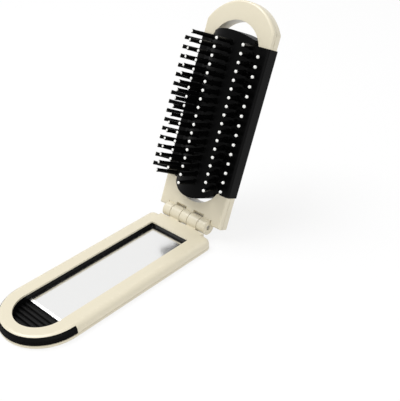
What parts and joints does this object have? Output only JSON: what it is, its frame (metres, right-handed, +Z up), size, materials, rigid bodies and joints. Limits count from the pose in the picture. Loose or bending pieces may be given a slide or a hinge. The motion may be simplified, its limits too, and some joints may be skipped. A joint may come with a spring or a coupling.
{
  "type": "folding hairbrush with mirror",
  "caption": "Pocket hairbrush that folds on a pinned hinge over a rectangular mirror set in a cream case, with a black pad of ball-tipped pins that sinks as it closes.",
  "frame": {"origin": "centre of the flat underside of the mirror half, on the surface it lies on", "axes": "+X along the hinge axis, +Y from the round end of the mirror half to the hinge, +Z up"},
  "size_m": [0.0386, 0.1329, 0.0872],
  "materials": {
    "cream_plastic": "satin cream",
    "black_plastic": "satin black",
    "black_rubber": "satin black",
    "black_nylon": "satin black",
    "white_tips": "gloss white",
    "mirror": "silvered, bevelled",
    "foam_tape": "adhesive foam",
    "steel_pin": "plain steel",
    "grey_plastic": "matte, hidden"
  },
  "bodies": {
    "mirror_half": {"base_cover": "cream_plastic", "mirror_case": "cream_plastic", "mirror_tray": "black_plastic", "mirror_pad": "foam_tape", "mirror_glass": "mirror", "grip_band": "black_rubber"},
    "pin": {"hinge_pin": "steel_pin"},
    "brush_half": {"brush_casing": "cream_plastic", "front_plate": "cream_plastic", "wing_left": "black_rubber", "wing_right": "black_rubber"},
    "bristle_head": {"pad_cushion": "black_rubber", "web_left": "black_rubber", "web_right": "black_rubber", "pad_base": "grey_plastic", "pin_row_1": "black_nylon", "pin_row_2": "black_nylon", "pin_row_3": "black_nylon", "pin_row_4": "black_nylon", "pin_row_5": "black_nylon", "pin_row_6": "black_nylon", "tip_row_1": "white_tips", "tip_row_2": "white_tips", "tip_row_3": "white_tips", "tip_row_4": "white_tips", "tip_row_5": "white_tips", "tip_row_6": "white_tips"}
  },
  "joints": [
    {"name": "fold_close", "type": "hinge", "parent": "pin", "child": "mirror_half", "pos_m": [0, 0.0469, 0.0056], "axis": [-1, 0, 0], "range_deg": [0, 115]},
    {"name": "fold_open", "type": "hinge", "parent": "pin", "child": "brush_half", "pos_m": [0, 0.0469, 0.0056], "axis": [1, 0, 0], "range_deg": [-65, 0]},
    {"name": "head_slide", "type": "slide", "parent": "brush_half", "child": "bristle_head", "axis": [0, -0.9063, 0.4226], "range_m": [-0.0141, 0], "deforming": ["web_left", "web_right", "pin_row_1", "pin_row_2", "pin_row_5", "pin_row_6", "tip_row_1", "tip_row_2", "tip_row_5", "tip_row_6"]}
  ],
  "couplings": [
    {"joint": "fold_close", "follows": "head_slide", "rad_per_m": -142.35}
  ]
}
